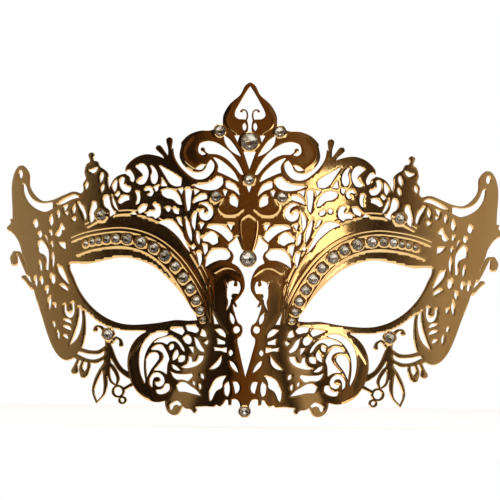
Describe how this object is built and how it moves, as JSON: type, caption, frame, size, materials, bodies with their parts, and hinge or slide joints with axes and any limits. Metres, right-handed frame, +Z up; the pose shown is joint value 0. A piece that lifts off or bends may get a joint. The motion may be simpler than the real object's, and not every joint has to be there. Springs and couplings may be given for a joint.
{
  "type": "venetian masquerade mask",
  "caption": "Half-face masquerade mask of pierced gilt metal filigree with a fleur-de-lis crown, eye openings, a nose bridge and faceted clear stones.",
  "frame": {"origin": "point of the bridge on the inside of the plate, midway between the eyes at eye level, where the mask rests on the face", "axes": "+X across the face towards the right wing as seen from the front, +Y back towards the wearer, +Z up"},
  "size_m": [0.1888, 0.0717, 0.1259],
  "materials": {
    "gilt_metal": "polished antique gold plate",
    "crystal": "faceted, foil backed"
  },
  "bodies": {
    "root": {"mask_plate": "gilt_metal", "brow_stone_left_01": "crystal", "brow_stone_left_02": "crystal", "brow_stone_left_03": "crystal", "brow_stone_left_04": "crystal", "brow_stone_left_05": "crystal", "brow_stone_left_06": "crystal", "brow_stone_left_07": "crystal", "brow_stone_left_08": "crystal", "brow_stone_left_09": "crystal", "brow_stone_left_10": "crystal", "brow_stone_left_11": "crystal", "brow_stone_left_12": "crystal", "brow_stone_left_13": "crystal", "brow_stone_left_14": "crystal", "brow_stone_left_15": "crystal", "brow_stone_right_01": "crystal", "brow_stone_right_02": "crystal", "brow_stone_right_03": "crystal", "brow_stone_right_04": "crystal", "brow_stone_right_05": "crystal", "brow_stone_right_06": "crystal", "brow_stone_right_07": "crystal", "brow_stone_right_08": "crystal", "brow_stone_right_09": "crystal", "brow_stone_right_10": "crystal", "brow_stone_right_11": "crystal", "brow_stone_right_12": "crystal", "brow_stone_right_13": "crystal", "brow_stone_right_14": "crystal", "brow_stone_right_15": "crystal", "crown_stone_left": "crystal", "crown_stone_right": "crystal", "fleur_stone_left": "crystal", "fleur_stone_right": "crystal", "temple_stone_left": "crystal", "temple_stone_right": "crystal", "cheek_stone_left": "crystal", "cheek_stone_right": "crystal", "crown_stone_large": "crystal", "fleur_stone_small": "crystal", "pendant_stone": "crystal", "nose_stone": "crystal"}
  },
  "joints": []
}
